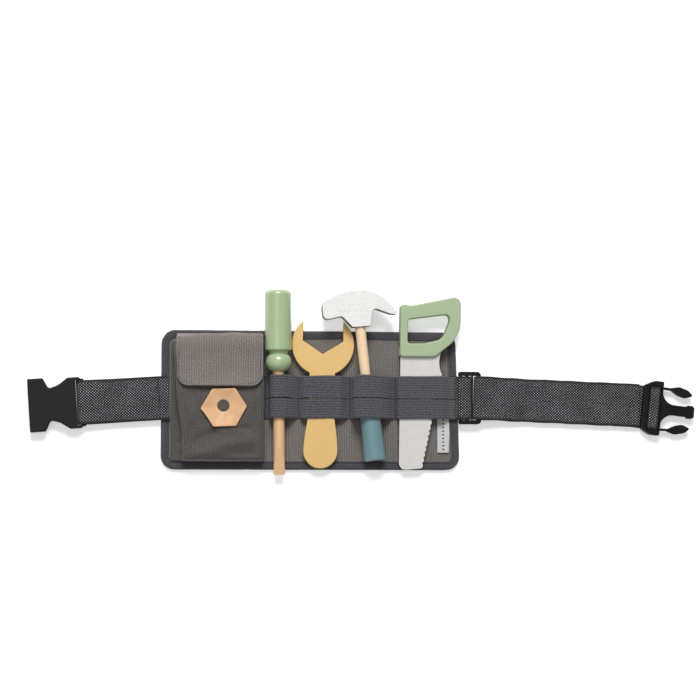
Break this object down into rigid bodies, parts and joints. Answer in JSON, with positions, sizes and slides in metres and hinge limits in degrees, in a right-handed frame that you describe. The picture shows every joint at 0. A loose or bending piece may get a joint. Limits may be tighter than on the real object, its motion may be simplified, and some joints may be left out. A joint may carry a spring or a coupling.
{
  "type": "toy tool belt",
  "caption": "Child's padded canvas tool belt with a flap pocket, elastic loops holding wooden hand tools, and a webbing strap with a side-release buckle.",
  "frame": {"origin": "centre of the panel's back face, the face that lies on the wearer or the table", "axes": "+X along the belt towards the plug end, +Y across the panel towards the tools' heads, +Z out of the panel's front"},
  "size_m": [0.6166, 0.1689, 0.0319],
  "materials": {
    "canvas": "plain woven cotton canvas",
    "lining": "plain woven lining",
    "padding": "soft wadding",
    "binding": "folded twill binding",
    "webbing": "woven webbing",
    "elastic": "ribbed elastic",
    "hook_and_loop": "hook and loop tape",
    "tan_leather": "smooth tan leather",
    "label_ribbon": "woven ribbon",
    "black_plastic": "moulded, satin",
    "beech": "sanded beech",
    "green_gloss": "gloss sage green paint on wood",
    "green_satin": "satin sage green paint on wood",
    "mustard_paint": "satin mustard paint on wood",
    "silver_paint": "pale grey paint on wood",
    "teal_paint": "satin teal paint on wood"
  },
  "bodies": {
    "belt": {"panel_lining": "lining", "panel_padding": "padding", "panel_face": "canvas", "edge_binding": "binding", "pocket": "canvas", "pocket_loop_patch": "hook_and_loop", "hex_patch": "tan_leather", "upper_elastic": "elastic", "lower_elastic": "elastic", "side_label": "label_ribbon", "left_strap_anchor": "webbing", "right_tab": "webbing", "strap_slider": "black_plastic"},
    "flap_riser": {"flap_riser": "canvas"},
    "flap": {"pocket_flap": "canvas", "flap_hook_patch": "hook_and_loop"},
    "screwdriver": {"screwdriver_handle": "green_gloss", "screwdriver_shaft": "beech"},
    "wrench": {"wrench": "mustard_paint"},
    "hammer": {"hammer_head": "silver_paint", "hammer_shaft": "beech", "hammer_grip": "teal_paint"},
    "saw": {"saw_blade": "silver_paint", "saw_handle": "green_satin"},
    "left_strap": {"left_strap": "webbing"},
    "socket": {"buckle_socket": "black_plastic"},
    "right_strap": {"right_strap": "webbing"},
    "strap_runner": {"strap_extension": "webbing", "strap_tail": "webbing"},
    "plug": {"buckle_plug": "black_plastic", "plug_strap_loop": "webbing"},
    "prong_upper": {"plug_prong_upper": "black_plastic"},
    "prong_lower": {"plug_prong_lower": "black_plastic"}
  },
  "joints": [
    {"name": "flap_base_hinge", "type": "hinge", "parent": "belt", "child": "flap_riser", "pos_m": [-0.08525, 0.0589, 0.0059], "axis": [-1, 0, 0], "range_deg": [0, 90]},
    {"name": "flap_fold_hinge", "type": "hinge", "parent": "flap_riser", "child": "flap", "pos_m": [-0.08525, 0.0597, 0.01975], "axis": [-1, 0, 0], "range_deg": [0, 90]},
    {"name": "screwdriver_slide", "type": "slide", "parent": "belt", "child": "screwdriver", "axis": [-0.0153, 0.9981, 0.0593], "range_m": [0, 0.092]},
    {"name": "wrench_slide", "type": "slide", "parent": "belt", "child": "wrench", "axis": [0.0243, 0.9997, 0], "range_m": [0, 0.086]},
    {"name": "hammer_slide", "type": "slide", "parent": "belt", "child": "hammer", "axis": [-0.1132, 0.9932, 0.0279], "range_m": [0, 0.08]},
    {"name": "saw_slide", "type": "slide", "parent": "belt", "child": "saw", "axis": [0.0133, 0.9994, 0.0332], "range_m": [0, 0.087]},
    {"name": "left_strap_swing", "type": "hinge", "parent": "belt", "child": "left_strap", "pos_m": [-0.1404, 0.0008, 0.00615], "axis": [0.0628, -0.998, 0], "range_deg": [-60, 90]},
    {"name": "socket_pivot", "type": "hinge", "parent": "left_strap", "child": "socket", "pos_m": [-0.2077, -0.00345, 0.00575], "axis": [0.0732, -0.9973, 0], "range_deg": [-50, 50]},
    {"name": "right_strap_swing", "type": "hinge", "parent": "belt", "child": "right_strap", "pos_m": [0.155, 0.0027, 0.0079], "axis": [0, 1, 0], "range_deg": [-60, 90]},
    {"name": "strap_adjust", "type": "slide", "parent": "right_strap", "child": "strap_runner", "axis": [0.9993, -0.0384, 0], "range_m": [0, 0.06]},
    {"name": "plug_pivot", "type": "hinge", "parent": "strap_runner", "child": "plug", "pos_m": [0.30839, -0.00319, 0.0055], "axis": [0.0384, 0.9993, 0], "range_deg": [-25, 60]},
    {"name": "upper_prong_flex", "type": "hinge", "parent": "plug", "child": "prong_upper", "pos_m": [0.32993, 0.01311, 0.00505], "axis": [0, 0, -1], "range_deg": [0, 7], "stiffness_Nm_per_rad": 2},
    {"name": "lower_prong_flex", "type": "hinge", "parent": "plug", "child": "prong_lower", "pos_m": [0.32547, -0.02543, 0.00505], "axis": [0, 0, 1], "range_deg": [0, 7], "stiffness_Nm_per_rad": 2}
  ]
}
